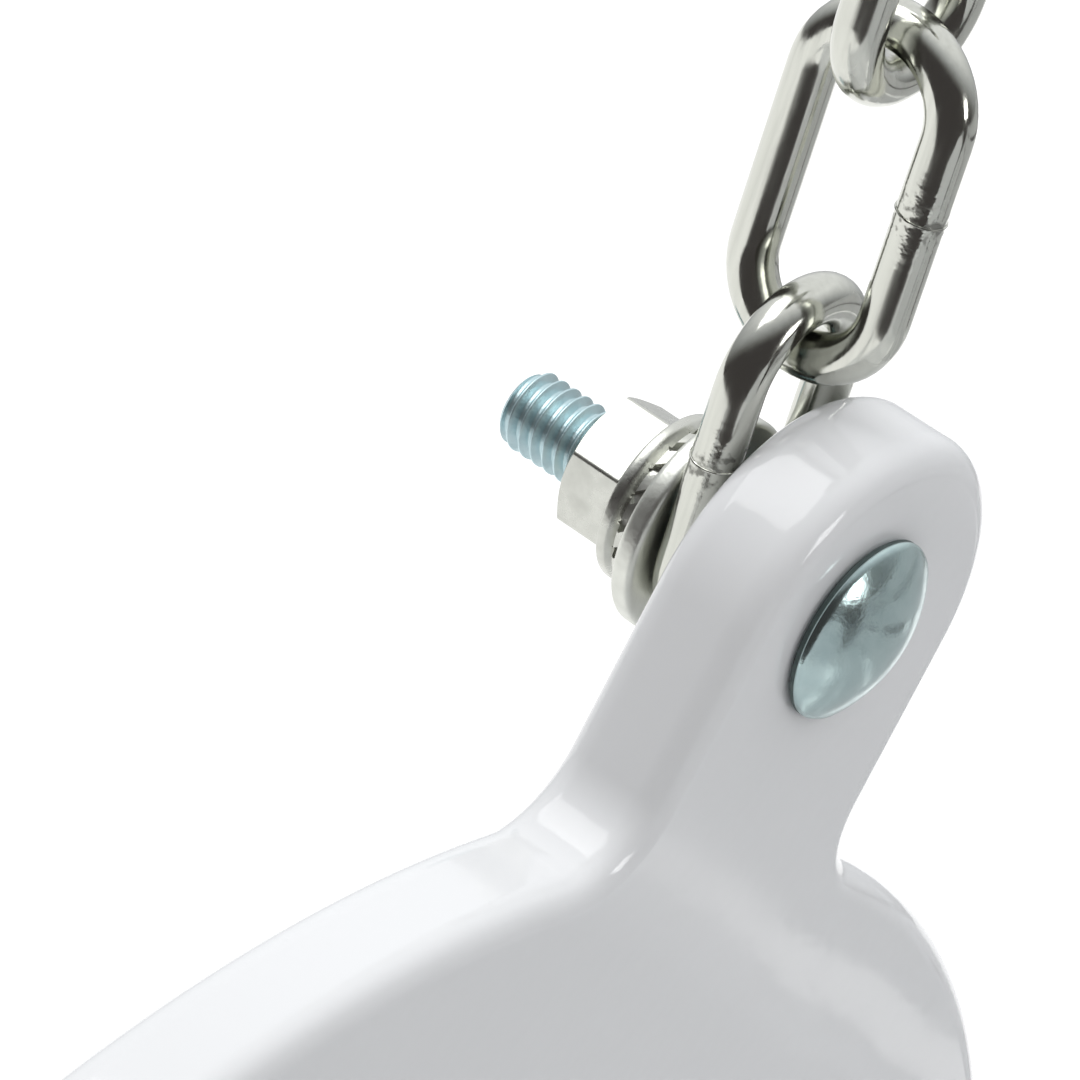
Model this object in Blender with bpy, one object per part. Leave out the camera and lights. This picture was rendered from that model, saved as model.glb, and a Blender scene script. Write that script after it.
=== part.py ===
"""Porch swing seat for one sitter, hung from one chain at each side.

Two end panels with a round ear on top carry a slatted seat and back between them. A carriage bolt
through each ear holds the chain's first link against the panel's outer face, behind a washer, a
toothed lock washer and a nut. Four links up, each chain hangs in an S-hook.

Metres, +Z up, sitter facing -Y, +X to the right of someone who looks at the seat from the front.
The origin is midway between the S-hooks, level with the inside of their upper loops, where they
hang. Hanging empty, the seat leans back by HANG_LEAN, which puts its weight below the bolts.
"""

import math

import bmesh
import bpy

SIDES = {"left": -1, "right": 1}

# Gaps
CLEARANCE = 0.0003  # between pieces that touch
END_GAP = 0.0015  # between a slat's end and the end panel
CUT_PAST = 0.002  # how far a cutter runs past the face it cuts

# Whole seat
INSIDE_WIDTH = 0.560  # between the end panels
HANG_LEAN = math.radians(18.4)

# End panel: heights and depths are in the seat's own frame, from the bolt's axis
PANEL_THICK = 0.0115
PANEL_EDGE = 0.003  # radius of the rounded-over edges
PANEL_AXIS = 0.0023  # the panel's centre line lies this far behind the bolt
EAR_RADIUS = 0.0195
EAR_CENTRE = -0.0016
CROWN_RADIUS = 0.125
CROWN_TOP = -0.0238
NECK_FILLET = 0.008
FRONT_SLOPE = math.radians(70)
REAR_SLOPE = math.radians(58)
PANEL_CORNER = 0.045
PANEL_BELOW_SEAT = 0.082  # from the top of the seat down to the panel's lower edge

# Seat and back, from the corner where their faces meet
CORNER_BACK = 0.1936  # behind the bolt
CORNER_DROP = 0.268  # below the bolt
SEAT_TILT = math.radians(10)
SEAT_SLATS = 7
SEAT_SLAT_WIDTH = 0.048
SEAT_SLAT_THICK = 0.018
SEAT_SLAT_GAP = 0.008
BACK_SLATS = 5
BACK_SLAT_WIDTH = 0.058
BACK_SLAT_THICK = 0.015
BACK_SLAT_GAP = 0.010
BACK_RAISE = 0.045  # from the seat up to the lowest back slat
SLAT_EDGE = 0.003
BEARER_DEPTH = 0.050
BEARER_THICK = 0.020
BEARER_REAR = 0.053  # length behind the corner
BEARER_SETBACK = 0.010  # from the front edge of the seat
STILE_DEPTH = 0.032
STILE_THICK = 0.020
STILE_ABOVE = 0.008  # above the highest back slat
BAR_EDGE = 0.002

# Carriage bolt, measured along its axis from the panel's inner face
BOLT_RADIUS = 0.0039
BOLT_LENGTH = 0.039
BOLT_CHAMFER = 0.0008
BOLT_HEAD_RADIUS = 0.009
BOLT_RIM = 0.0009
BOLT_DOME = 0.00304
NECK_SQUARE = 0.0079
NECK_LENGTH = 0.005

# Washers and nut
WASHER_RADIUS = 0.0108
WASHER_THICK = 0.0023
WASHER_EDGE = 0.0006
LOCK_RADIUS = 0.0085
LOCK_ROOT = 0.0072
LOCK_THICK = 0.0034
LOCK_TEETH = 16
NUT_FLATS = 0.0127
NUT_HEIGHT = 0.0062
NUT_TURN = math.radians(26)
NUT_CHAMFER = math.radians(30)

# Chain and hook
WIRE = 0.00466
LINK_WIDTH = 0.01924
LINK_LENGTH = 0.0368
LINKS = 4
HOOK_WIRE = 0.006
HOOK_INSIDE = 0.0072  # inner radius of each loop
HOOK_SPREAD = 0.0066  # from one loop's centreline to the other's
HOOK_OPENING = math.radians(165)  # where each loop's tip lies, from the level line

# Frame screws
SCREW_RADIUS = 0.003
SCREW_HEAD_RADIUS = 0.0068
SCREW_HEAD_HEIGHT = 0.003
SCREW_BITE = 0.014  # length in the second piece
PANEL_SCREWS = (0.05, 0.20, 0.35)  # from the seat corner, forward
STILE_SCREWS = (0.012, 0.032)  # down from the top of the bearer

# Levels that follow
HOOK_CENTRELINE = HOOK_INSIDE + HOOK_WIRE / 2
HOOK_CENTRES = 2 * HOOK_CENTRELINE + HOOK_SPREAD
UPPER_LOOP = -HOOK_INSIDE
LOWER_LOOP = UPPER_LOOP - HOOK_CENTRES
LINK_PITCH = LINK_LENGTH - 2 * WIRE - CLEARANCE
TOP_LINK = LOWER_LOOP - HOOK_INSIDE + CLEARANCE + WIRE - LINK_LENGTH / 2
FIRST_LINK = TOP_LINK - (LINKS - 1) * LINK_PITCH
BOLT_LEVEL = FIRST_LINK - LINK_LENGTH / 2 + WIRE + CLEARANCE + BOLT_RADIUS
PANEL_FACE = INSIDE_WIDTH / 2
CHAIN_PLANE = PANEL_FACE + PANEL_THICK + CLEARANCE + WIRE / 2
SEAT_DEPTH = SEAT_SLATS * SEAT_SLAT_WIDTH + (SEAT_SLATS - 1) * SEAT_SLAT_GAP
BEARER_TOP = -SEAT_SLAT_THICK - CLEARANCE


def clear_scene():
    for obj in list(bpy.data.objects):
        bpy.data.objects.remove(obj, do_unlink=True)


def finish(name, colour, roughness, metallic):
    made = bpy.data.materials.new(name)
    made.use_nodes = True
    shader = made.node_tree.nodes["Principled BSDF"]
    shader.inputs["Base Color"].default_value = (*colour, 1)
    shader.inputs["Roughness"].default_value = roughness
    shader.inputs["Metallic"].default_value = metallic
    return made


def add_object(name, mesh, material, parent):
    """A node whose mesh is given in its parent's frame."""
    bmesh.ops.recalc_face_normals(mesh, faces=mesh.faces)
    data = bpy.data.meshes.new(name)
    mesh.to_mesh(data)
    mesh.free()
    data.shade_smooth()
    data.set_sharp_from_angle(angle=math.radians(35))
    obj = bpy.data.objects.new(name, data)
    obj.parent = parent
    bpy.context.scene.collection.objects.link(obj)
    if material:
        data.materials.append(material)
    return obj


def round_edges(obj, width, segments=2):
    bevel = obj.modifiers.new("rounded edges", "BEVEL")
    bevel.width = width
    bevel.segments = segments
    bevel.limit_method = "ANGLE"
    bevel.angle_limit = math.radians(60)


def cut(obj, cutter):
    cutter.hide_render = True
    cutter.display_type = "WIRE"
    boolean = obj.modifiers.new("cut", "BOOLEAN")
    boolean.operation = "DIFFERENCE"
    boolean.object = cutter


def prism(outline, x_start, x_end):
    """A solid between two planes across X, from an outline of (y, z) points."""
    mesh = bmesh.new()
    loops = [[mesh.verts.new((x, y, z)) for y, z in outline] for x in (x_start, x_end)]
    mesh.faces.new(loops[0])
    mesh.faces.new(loops[1])
    count = len(outline)
    for i in range(count):
        j = (i + 1) % count
        mesh.faces.new((loops[0][i], loops[0][j], loops[1][j], loops[1][i]))
    return mesh


def turned(profile, y, z, steps=24):
    """A solid turned about a line along X, from (x, radius) points: axis to axis, or a ring."""
    mesh = bmesh.new()
    ring = profile[0][1] > 0
    verts = [mesh.verts.new((x, y + radius, z)) for x, radius in profile]
    edges = [mesh.edges.new(pair) for pair in zip(verts, verts[1:])]
    if ring:
        edges.append(mesh.edges.new((verts[-1], verts[0])))
    bmesh.ops.spin(
        mesh, geom=verts + edges, cent=(0, y, z), axis=(1, 0, 0), angle=math.tau, steps=steps
    )
    bmesh.ops.remove_doubles(mesh, verts=mesh.verts, dist=1e-6)
    return mesh


def arc(centre, radius, start, end, steps):
    """Points on an arc in the (y, z) plane; angles run from +y towards +z."""
    turns = [start + (end - start) * i / steps for i in range(steps + 1)]
    return [(centre[0] + radius * math.cos(t), centre[1] + radius * math.sin(t)) for t in turns]


def seat_point(forward, up):
    """A (y, z) point given from the corner of seat and back, along the seat and square to it."""
    y = CORNER_BACK - forward * math.cos(SEAT_TILT) - up * math.sin(SEAT_TILT)
    z = -CORNER_DROP - forward * math.sin(SEAT_TILT) + up * math.cos(SEAT_TILT)
    return y, z


def meet(point_a, angle_a, point_b, angle_b):
    """Where two lines meet, each given by a point and a direction."""
    dy, dz = point_b[0] - point_a[0], point_b[1] - point_a[1]
    along = (dy * math.sin(angle_b) - dz * math.cos(angle_b)) / math.sin(angle_b - angle_a)
    return point_a[0] + along * math.cos(angle_a), point_a[1] + along * math.sin(angle_a)


def panel_outline():
    """Counter-clockwise from the ear's rear side: ear, neck, crown, front leg, lower edge, rear leg."""
    crown = (PANEL_AXIS, CROWN_TOP - CROWN_RADIUS)
    ear = (PANEL_AXIS, EAR_CENTRE)
    offset = EAR_RADIUS + NECK_FILLET
    reach = CROWN_RADIUS + NECK_FILLET
    neck_level = crown[1] + math.sqrt(reach**2 - offset**2)
    lean = math.acos(offset / reach)  # direction from the crown's centre to the neck fillet's
    quarter = math.pi / 2

    # Where the straight legs leave the crown, and the lower corners' arcs
    front_angle = quarter + FRONT_SLOPE
    rear_angle = quarter - REAR_SLOPE
    front_top = arc(crown, CROWN_RADIUS, front_angle, front_angle, 1)[0]
    rear_top = arc(crown, CROWN_RADIUS, rear_angle, rear_angle, 1)[0]
    inset_base = seat_point(0, -PANEL_BELOW_SEAT + PANEL_CORNER)
    inset_front = arc(crown, CROWN_RADIUS - PANEL_CORNER, front_angle, front_angle, 1)[0]
    inset_rear = arc(crown, CROWN_RADIUS - PANEL_CORNER, rear_angle, rear_angle, 1)[0]
    front_corner = meet(inset_front, front_angle + quarter, inset_base, SEAT_TILT)
    rear_corner = meet(inset_rear, rear_angle - quarter, inset_base, SEAT_TILT)

    points = arc(ear, EAR_RADIUS, 0, math.pi, 20)
    points += arc((PANEL_AXIS - offset, neck_level), NECK_FILLET, 0, -lean, 6)
    points += arc(crown, CROWN_RADIUS, math.pi - lean, front_angle, 12)[1:]
    points += arc(front_corner, PANEL_CORNER, front_angle, SEAT_TILT + 3 * quarter, 8)
    points += arc(rear_corner, PANEL_CORNER, SEAT_TILT - quarter, rear_angle, 8)
    points += arc(crown, CROWN_RADIUS, rear_angle, lean, 12)
    points += arc((PANEL_AXIS + offset, neck_level), NECK_FILLET, math.pi + lean, math.pi, 6)[1:]
    return points


def bearer_plane(side):
    """The bearer's two faces across X: the outer ones lie on the end panels, one is in the middle."""
    if side:
        outer = side * (PANEL_FACE - CLEARANCE)
        return outer, outer - side * BEARER_THICK
    return BEARER_THICK / 2, -BEARER_THICK / 2


def stile_plane(side):
    """The stile laps the bearer's inner face."""
    inward = -(side or 1)
    start = bearer_plane(side)[1] + inward * CLEARANCE
    return start, start + inward * STILE_THICK


def make_panel(name, side, seat, paint, drill_points):
    inner, outer = side * PANEL_FACE, side * (PANEL_FACE + PANEL_THICK)
    panel = add_object(name, prism(panel_outline(), inner, outer), paint, seat)
    round_edges(panel, PANEL_EDGE)
    over = side * CUT_PAST
    bore = BOLT_RADIUS + CLEARANCE
    profile = [(inner - over, 0), (inner - over, bore), (outer + over, bore), (outer + over, 0)]
    cut(panel, add_object(name + "_bore", turned(profile, 0, 0), None, seat))
    half = NECK_SQUARE / 2 + CLEARANCE
    square = [(-half, -half), (half, -half), (half, half), (-half, half)]
    depth = inner + side * (NECK_LENGTH + CLEARANCE)
    cut(panel, add_object(name + "_neck_seat", prism(square, inner - over, depth), None, seat))
    hole = SCREW_RADIUS + CLEARANCE
    profile = [(inner - over, 0), (inner - over, hole), (outer + over, hole), (outer + over, 0)]
    for i, (y, z) in enumerate(drill_points, 1):
        cut(panel, add_object(f"{name}_drill_{i}", turned(profile, y, z, 12), None, seat))


def make_ear_bolt(name, side, seat, zinc):
    """A domed carriage bolt: its head on the inner face, its square neck in the panel, its tail outside."""

    def at(depth):
        return side * (PANEL_FACE + depth)

    sphere = (BOLT_HEAD_RADIUS**2 + BOLT_DOME**2) / (2 * BOLT_DOME)
    widest = math.asin(BOLT_HEAD_RADIUS / sphere)
    rise = [widest * i / 6 for i in range(7)]
    base = -CLEARANCE - BOLT_RIM
    dome = [
        (at(base - BOLT_DOME + sphere * (1 - math.cos(t))), sphere * math.sin(t)) for t in rise
    ]
    profile = dome + [
        (at(-CLEARANCE), BOLT_HEAD_RADIUS),
        (at(-CLEARANCE), BOLT_RADIUS),
        (at(BOLT_LENGTH - BOLT_CHAMFER), BOLT_RADIUS),
        (at(BOLT_LENGTH), BOLT_RADIUS - BOLT_CHAMFER),
        (at(BOLT_LENGTH), 0),
    ]
    bolt = add_object(name, turned(profile, 0, 0), zinc, seat)
    half = NECK_SQUARE / 2
    square = [(-half, -half), (half, -half), (half, half), (-half, half)]
    inside_rim = at(-CLEARANCE - BOLT_RIM / 2)
    cut(bolt, add_object(name + "_neck", prism(square, inside_rim, at(NECK_LENGTH)), None, seat))
    bolt.modifiers["cut"].operation = "UNION"


def make_washer(name, x_near, x_far, seat, zinc):
    slope = math.copysign(WASHER_EDGE, x_far - x_near)
    bore = BOLT_RADIUS + CLEARANCE
    profile = [
        (x_near, bore),
        (x_near, WASHER_RADIUS - WASHER_EDGE),
        (x_near + slope, WASHER_RADIUS),
        (x_far - slope, WASHER_RADIUS),
        (x_far, WASHER_RADIUS - WASHER_EDGE),
        (x_far, bore),
    ]
    add_object(name, turned(profile, 0, 0), zinc, seat)


def make_lock_washer(name, x_near, x_far, seat, zinc):
    """A ring with twisted outer teeth, drawn as a plain toothed rim."""
    steps = 4 * LOCK_TEETH
    mesh = bmesh.new()
    rings = []
    for x in (x_near, x_far):
        for inner in (False, True):
            ring = []
            for i in range(steps):
                turn = math.tau * i / steps
                tooth = LOCK_RADIUS if i % 4 < 2 else LOCK_ROOT
                radius = BOLT_RADIUS + CLEARANCE if inner else tooth
                ring.append(mesh.verts.new((x, radius * math.cos(turn), radius * math.sin(turn))))
            rings.append(ring)
    outer_near, inner_near, outer_far, inner_far = rings
    for one, other in (
        (outer_near, inner_near),
        (outer_far, inner_far),
        (outer_near, outer_far),
        (inner_near, inner_far),
    ):
        for i in range(steps):
            j = (i + 1) % steps
            mesh.faces.new((one[i], one[j], other[j], other[i]))
    add_object(name, mesh, zinc, seat)


def make_nut(name, x_near, x_far, seat, zinc):
    """A hexagon bored for the bolt, its free corners chamfered by the turned blank it is made from."""
    corner = NUT_FLATS / math.sqrt(3)
    turns = [NUT_TURN + math.tau * i / 6 for i in range(6)]
    hexagon = [(corner * math.cos(t), corner * math.sin(t)) for t in turns]
    nut = add_object(name, prism(hexagon, x_near, x_far), zinc, seat)
    over = math.copysign(CUT_PAST, x_far - x_near)
    bore = BOLT_RADIUS + CLEARANCE
    profile = [(x_near - over, 0), (x_near - over, bore), (x_far + over, bore), (x_far + over, 0)]
    cut(nut, add_object(name + "_bore", turned(profile, 0, 0), None, seat))
    chamfer = (corner - NUT_FLATS / 2) * math.tan(NUT_CHAMFER)
    slope = math.copysign(chamfer, x_far - x_near)
    wide = corner + CUT_PAST
    profile = [
        (x_far - slope, corner),
        (x_far - slope, wide),
        (x_far + over, wide),
        (x_far + over, NUT_FLATS / 2),
        (x_far, NUT_FLATS / 2),
    ]
    cut(nut, add_object(name + "_chamfer", turned(profile, 0, 0, 36), None, seat))


def tube(name, points, diameter, closed, material, origin, resolution=2):
    """Round wire bent along points, which are given from the origin's height at x = 0."""
    data = bpy.data.curves.new(name, "CURVE")
    data.dimensions = "3D"
    data.bevel_depth = diameter / 2
    data.bevel_resolution = resolution
    data.use_fill_caps = not closed
    spline = data.splines.new("POLY")
    spline.points.add(len(points) - 1)
    for place, point in zip(spline.points, points):
        place.co = (*point, 1)
    spline.use_cyclic_u = closed
    data.materials.append(material)
    obj = bpy.data.objects.new(name, data)
    obj.location = origin
    bpy.context.scene.collection.objects.link(obj)
    return obj


def make_link(name, side, level, across_panel, pivot_up, chrome):
    """One link: a stadium of wire, upright, in the panel's plane or square to it."""
    half_width = (LINK_WIDTH - WIRE) / 2
    half_straight = (LINK_LENGTH - WIRE) / 2 - half_width
    loop = arc((0, half_straight), half_width, 0, math.pi, 10)
    loop += arc((0, -half_straight), half_width, math.pi, math.tau, 10)
    points = []
    for across, up in loop:
        height = up - pivot_up
        points.append((across, 0, height) if across_panel else (0, across, height))
    origin = (side * CHAIN_PLANE, 0, level + pivot_up)
    tube(name, points, WIRE, True, chrome, origin)


def make_hook(name, side, steel):
    """An S of wire in the panel's plane: two loops that open opposite ways, joined by a straight run."""
    cross = math.asin(2 * HOOK_CENTRELINE / HOOK_CENTRES)
    lower = arc((0, LOWER_LOOP), HOOK_CENTRELINE, HOOK_OPENING, math.tau + cross, 18)
    upper = arc((0, UPPER_LOOP), HOOK_CENTRELINE, math.pi + cross, HOOK_OPENING - math.pi, 18)
    points = [(0, y, z) for y, z in lower + upper]
    tube(name, points, HOOK_WIRE, False, steel, (side * CHAIN_PLANE, 0, 0), 3)


def make_screw(name, x_head, x_tip, y, z, seat, zinc):
    inward = math.copysign(1, x_tip - x_head)
    head = x_head - inward * CLEARANCE
    crown = [
        (head - inward * SCREW_HEAD_HEIGHT * math.cos(t), SCREW_HEAD_RADIUS * math.sin(t))
        for t in (0, math.pi / 6, math.pi / 3, math.pi / 2)
    ]
    profile = crown + [
        (head, SCREW_RADIUS),
        (x_tip - inward * SCREW_RADIUS, SCREW_RADIUS),
        (x_tip, 0),
    ]
    add_object(name, turned(profile, y, z, 16), zinc, seat)


def drill(obj, name, x_start, x_end, y, z, seat):
    hole = SCREW_RADIUS + CLEARANCE
    profile = [(x_start, 0), (x_start, hole), (x_end, hole), (x_end, 0)]
    cut(obj, add_object(name, turned(profile, y, z, 12), None, seat))


def make_frame(word, side, seat, paint, zinc):
    """A bearer under the seat, the back stile lapped on it, and the screws that join them."""
    bearer_start, bearer_end = bearer_plane(side)
    low = BEARER_TOP - BEARER_DEPTH
    front = SEAT_DEPTH - BEARER_SETBACK
    outline = [
        seat_point(-BEARER_REAR, BEARER_TOP),
        seat_point(front, BEARER_TOP),
        seat_point(front, low),
        seat_point(-BEARER_REAR, low),
    ]
    bearer = add_object("seat_bearer_" + word, prism(outline, bearer_start, bearer_end), paint, seat)
    round_edges(bearer, BAR_EDGE)

    face = CORNER_BACK + BACK_SLAT_THICK + CLEARANCE
    foot = seat_point(-BEARER_REAR, low)[1]
    back_height = BACK_RAISE + BACK_SLATS * (BACK_SLAT_WIDTH + BACK_SLAT_GAP) - BACK_SLAT_GAP
    head = -CORNER_DROP + back_height + STILE_ABOVE
    outline = [(face, foot), (face + STILE_DEPTH, foot), (face + STILE_DEPTH, head), (face, head)]
    stile_start, stile_end = stile_plane(side)
    stile = add_object("back_stile_" + word, prism(outline, stile_start, stile_end), paint, seat)
    round_edges(stile, BAR_EDGE)

    middle = face + STILE_DEPTH / 2
    forward = (CORNER_BACK - middle) / math.cos(SEAT_TILT)
    inward = math.copysign(1, stile_end - stile_start)
    tip = bearer_end - inward * SCREW_BITE
    for i, below in enumerate(STILE_SCREWS, 1):
        z = seat_point(forward, BEARER_TOP - below)[1]
        make_screw(f"stile_screw_{word}_{i}", stile_end, tip, middle, z, seat, zinc)
        past = stile_end + inward * CUT_PAST
        hollow = tip - inward * CLEARANCE
        drill(stile, f"stile_drill_{word}_{i}", past, hollow, middle, z, seat)
        drill(bearer, f"bearer_drill_{word}_{i}", past, hollow, middle, z, seat)
    return bearer


def make_slats(seat, paint):
    reach = PANEL_FACE - END_GAP
    step = SEAT_SLAT_WIDTH + SEAT_SLAT_GAP
    for i in range(SEAT_SLATS):
        start = i * step
        corners = [(start, 0), (start + SEAT_SLAT_WIDTH, 0)]
        corners += [(start + SEAT_SLAT_WIDTH, -SEAT_SLAT_THICK), (start, -SEAT_SLAT_THICK)]
        outline = [seat_point(forward, up) for forward, up in corners]
        slat = add_object(f"seat_slat_{i + 1}", prism(outline, -reach, reach), paint, seat)
        round_edges(slat, SLAT_EDGE)
    step = BACK_SLAT_WIDTH + BACK_SLAT_GAP
    for i in range(BACK_SLATS):
        low = -CORNER_DROP + BACK_RAISE + i * step
        high = low + BACK_SLAT_WIDTH
        near, far = CORNER_BACK, CORNER_BACK + BACK_SLAT_THICK
        outline = [(near, low), (far, low), (far, high), (near, high)]
        slat = add_object(f"back_slat_{i + 1}", prism(outline, -reach, reach), paint, seat)
        round_edges(slat, SLAT_EDGE)


def make_chain(word, side, chrome):
    """Odd links lie in the panel's plane, even ones square to it; each turns about the wire it hangs on."""
    wire_centre = LINK_LENGTH / 2 - WIRE / 2
    for number in range(1, LINKS + 1):
        level = FIRST_LINK + (number - 1) * LINK_PITCH
        across = number % 2 == 0
        # An even link's own top wire is its pin; an odd link turns on the wire of the link above it.
        pivot_up = wire_centre if across else wire_centre - WIRE - CLEARANCE
        make_link(f"chain_link_{number}_{word}", side, level, across, pivot_up, chrome)


def main():
    clear_scene()
    enamel = finish("white gloss enamel", (0.86, 0.87, 0.88), 0.12, 0.0)
    blue_zinc = finish("blue zinc plate", (0.60, 0.68, 0.72), 0.25, 1.0)
    bright_zinc = finish("bright zinc plate", (0.66, 0.65, 0.60), 0.3, 1.0)
    chain_steel = finish("bright chain steel", (0.62, 0.62, 0.58), 0.16, 1.0)

    seat = bpy.data.objects.new("seat_frame", None)
    seat.location = (0, 0, BOLT_LEVEL)
    seat.rotation_euler = (-HANG_LEAN, 0, 0)
    bpy.context.scene.collection.objects.link(seat)

    make_slats(seat, enamel)
    make_frame("middle", 0, seat, enamel, bright_zinc)
    screw_points = [seat_point(s, BEARER_TOP - BEARER_DEPTH / 2) for s in PANEL_SCREWS]
    for word, side in SIDES.items():
        make_panel("end_panel_" + word, side, seat, enamel, screw_points)
        bearer = make_frame(word, side, seat, enamel, bright_zinc)
        outer = side * (PANEL_FACE + PANEL_THICK)
        tip = bearer_plane(side)[0] - side * SCREW_BITE
        for i, (y, z) in enumerate(screw_points, 1):
            make_screw(f"panel_screw_{word}_{i}", outer, tip, y, z, seat, bright_zinc)
            name = f"bearer_pilot_{word}_{i}"
            drill(bearer, name, outer, tip - side * CLEARANCE, y, z, seat)

        make_ear_bolt("ear_bolt_" + word, side, seat, blue_zinc)
        near = CHAIN_PLANE + WIRE / 2 + CLEARANCE
        far = near + WASHER_THICK
        make_washer("washer_" + word, side * near, side * far, seat, bright_zinc)
        near = far + CLEARANCE
        far = near + LOCK_THICK
        make_lock_washer("lock_washer_" + word, side * near, side * far, seat, bright_zinc)
        near = far + CLEARANCE
        make_nut("nut_" + word, side * near, side * (near + NUT_HEIGHT), seat, bright_zinc)

        make_chain(word, side, chain_steel)
        make_hook("s_hook_" + word, side, bright_zinc)


main()
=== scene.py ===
"""Porch swing seat: the finish of every piece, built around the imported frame.

It goes in the order in which the seat is put together: the studio it stands in, the enamelled
boards, the screws, the hardware at each ear, and the chains. Metres, +Z up, the sitter faces -Y.
"""

import math
import random

import bpy
from mathutils import Matrix, Vector


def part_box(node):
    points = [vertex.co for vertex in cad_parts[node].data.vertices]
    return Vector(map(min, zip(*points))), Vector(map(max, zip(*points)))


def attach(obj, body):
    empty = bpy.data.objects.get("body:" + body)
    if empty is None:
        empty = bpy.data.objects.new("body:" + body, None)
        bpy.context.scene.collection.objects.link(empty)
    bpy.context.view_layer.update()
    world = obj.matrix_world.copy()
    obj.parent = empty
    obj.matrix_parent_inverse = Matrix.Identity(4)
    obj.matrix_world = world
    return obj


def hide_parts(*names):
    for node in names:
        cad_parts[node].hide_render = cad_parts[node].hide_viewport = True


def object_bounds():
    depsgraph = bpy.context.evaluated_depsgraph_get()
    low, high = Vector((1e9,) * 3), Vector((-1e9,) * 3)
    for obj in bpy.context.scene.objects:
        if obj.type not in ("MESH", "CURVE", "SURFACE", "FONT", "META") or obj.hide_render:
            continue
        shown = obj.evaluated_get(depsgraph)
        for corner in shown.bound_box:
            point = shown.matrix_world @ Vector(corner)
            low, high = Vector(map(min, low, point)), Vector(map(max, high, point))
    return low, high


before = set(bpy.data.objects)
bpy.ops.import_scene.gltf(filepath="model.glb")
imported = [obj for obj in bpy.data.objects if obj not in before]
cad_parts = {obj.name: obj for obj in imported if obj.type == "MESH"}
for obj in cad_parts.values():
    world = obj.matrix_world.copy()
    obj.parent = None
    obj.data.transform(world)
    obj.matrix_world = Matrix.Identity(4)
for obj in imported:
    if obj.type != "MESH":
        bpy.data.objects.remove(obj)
cad_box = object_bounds()
bpy.ops.object.select_all(action="DESELECT")


# Studio ------------------------------------------------------------------
# A round white table under a white horizon, with a soft box over its left side, a small lamp on its
# right and a matt fill. The room is dark on the near side, which the plated metal picks up.


def colour(hex_code):
    """An sRGB hex colour as a linear one."""
    parts = [int(hex_code[i : i + 2], 16) / 255 for i in (1, 3, 5)]
    return [c / 12.92 if c <= 0.04045 else ((c + 0.055) / 1.055) ** 2.4 for c in parts] + [1]


def add_node(tree, kind, values=None, links=None, **settings):
    """Adds a shader node, with values for its sockets, links into them and its settings."""
    made = tree.nodes.new(kind)
    for name, value in settings.items():
        setattr(made, name, value)
    for socket, value in (values or {}).items():
        made.inputs[socket].default_value = value
    for socket, source in (links or {}).items():
        tree.links.new(source, made.inputs[socket])
    return made


scene = bpy.context.scene
scene.view_settings.view_transform = "Standard"

floor_drop, floor_radius = 0.16, 1.52
floor_place = (-1.02, 0.19, cad_box[0].z - floor_drop)
bpy.ops.mesh.primitive_circle_add(
    vertices=96, radius=floor_radius, fill_type="NGON", location=floor_place
)
floor = bpy.context.object
floor.name = "studio_floor"
paper = bpy.data.materials.new("white seamless paper")
paper.use_nodes = True
paper_shader = paper.node_tree.nodes["Principled BSDF"]
paper_shader.inputs["Base Color"].default_value = colour("#7c7c7c")
paper_shader.inputs["Roughness"].default_value = 0.9
paper_shader.inputs["Emission Color"].default_value = (1, 1, 1, 1)
paper_shader.inputs["Emission Strength"].default_value = 1
floor.data.materials.append(paper)

world = bpy.data.worlds.new("studio")
world.use_nodes = True
scene.world = world
sky = world.node_tree
sky.nodes.clear()
facing = add_node(sky, "ShaderNodeTexCoord")
away = add_node(
    sky,
    "ShaderNodeVectorMath",
    {1: (-0.35, 0.45, 0.82)},
    {0: facing.outputs["Generated"]},
    operation="DOT_PRODUCT",
)
room = add_node(sky, "ShaderNodeValToRGB", links={"Fac": away.outputs["Value"]})
stops = room.color_ramp.elements
stops[0].color = colour("#434040")
stops[1].position, stops[1].color = 0.75, colour("#f2f3f5")
stops.new(0.12).color = colour("#656463")
stops.new(0.35).color = colour("#a9abad")
seen = add_node(sky, "ShaderNodeLightPath")
pale = add_node(
    sky,
    "ShaderNodeMix",
    {"B": (1, 1, 1, 1)},
    {"Factor": seen.outputs["Is Camera Ray"], "A": room.outputs["Color"]},
    data_type="RGBA",
)
glow = add_node(sky, "ShaderNodeBackground", {"Strength": 1.2}, {"Color": pale.outputs["Result"]})
add_node(sky, "ShaderNodeOutputWorld", links={"Surface": glow.outputs["Background"]})


seat_middle = Vector((0, 0, -0.25))


def soft_box(name, place, size, watts):
    """A square light at a place, turned towards the middle of the seat."""
    bpy.ops.object.light_add(type="AREA", location=place)
    light = bpy.context.object
    light.name = name
    light.data.size = size
    light.data.energy = watts
    light.visible_camera = False
    light.rotation_mode = "QUATERNION"
    light.rotation_quaternion = (seat_middle - Vector(place)).to_track_quat("-Z", "Y")


soft_box("overhead_box", (-1.1, -0.3, 1.4), 1.2, 11)
soft_box("side_lamp", (1.61, 0.38, 0.38), 0.5, 5)
soft_box("matt_fill", (0.97, -1.03, 1.45), 1.5, 14)
bpy.data.objects["matt_fill"].visible_glossy = False

# A long lens between the two panels, close to the left ear and rolled a little.
camera_data = bpy.data.cameras.new("camera")
camera_data.sensor_width = 36
camera_data.lens = 196.67
camera_data.clip_start = 0.01
camera = bpy.data.objects.new("camera", camera_data)
scene.collection.objects.link(camera)
across = Vector((0.74122, 0.61774, 0.26265))
upward = Vector((-0.50563, 0.25646, 0.82375))
backward = across.cross(upward)
camera.matrix_world = Matrix.Translation((-0.0758, -0.3993, 0.1128)) @ Matrix(
    (across, upward, backward)
).transposed().to_4x4()
scene.camera = camera


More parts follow.
